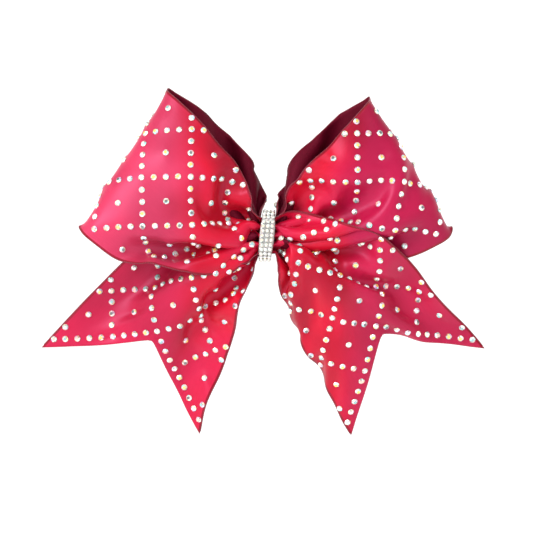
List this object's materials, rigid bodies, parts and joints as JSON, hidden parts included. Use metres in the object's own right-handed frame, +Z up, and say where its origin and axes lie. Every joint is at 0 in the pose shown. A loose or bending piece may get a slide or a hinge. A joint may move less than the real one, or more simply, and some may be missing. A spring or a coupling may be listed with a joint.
{
  "type": "cheer hair bow",
  "caption": "Cheerleading hair bow: wide satin ribbon folded into two loops and two fishtail tails, cinched by a crystal band and glued to a French barrette that snaps shut over the hair.",
  "frame": {"origin": "middle of the barrette plate's hair side, where the clip grips the hair", "axes": "+Z up as worn, the bow faces -Y, +Y points to the wearer's head, X along the barrette"},
  "size_m": [0.2086, 0.0493, 0.1648],
  "materials": {
    "satin": "glossy crimson satin",
    "lining": "matt burgundy grosgrain",
    "nylon": "black nylon",
    "crystal_silver": "silver cups holding clear crystals",
    "glue": "translucent hot glue",
    "nickel": "bright nickel plate"
  },
  "bodies": {
    "bow": {"left_loop_face": "satin", "left_loop_lining": "lining", "right_loop_face": "satin", "right_loop_lining": "lining", "left_tail_face": "satin", "left_tail_lining": "lining", "right_tail_face": "satin", "right_tail_lining": "lining", "gather_zip_tie": "nylon", "centre_band": "crystal_silver", "glue_pad": "glue", "clip_base": "nickel", "clip_hinge_pin": "nickel"},
    "clip_arm": {"clip_arm": "nickel"},
    "tension_bar": {"clip_tension_bar": "nickel"},
    "latch_tab_upper": {"clip_latch_tab_upper": "nickel"},
    "latch_tab_lower": {"clip_latch_tab_lower": "nickel"}
  },
  "joints": [
    {"name": "clip_arm_hinge", "type": "hinge", "parent": "bow", "child": "clip_arm", "pos_m": [-0.0325, 0.0086, 0], "axis": [0, 0, 1], "range_deg": [0, 65]},
    {"name": "tension_bar_flex", "type": "hinge", "parent": "bow", "child": "tension_bar", "pos_m": [-0.0255, 0.0013, 0], "axis": [0, 0, 1], "range_deg": [-2, 0], "stiffness_Nm_per_rad": 0.5},
    {"name": "latch_tab_upper_squeeze", "type": "hinge", "parent": "bow", "child": "latch_tab_upper", "pos_m": [0.0299, 0.0003, 0.0019], "axis": [-1, 0, 0], "range_deg": [0, 5], "stiffness_Nm_per_rad": 0.05},
    {"name": "latch_tab_lower_squeeze", "type": "hinge", "parent": "bow", "child": "latch_tab_lower", "pos_m": [0.0299, 0.0003, -0.0019], "axis": [1, 0, 0], "range_deg": [0, 5], "stiffness_Nm_per_rad": 0.05}
  ]
}
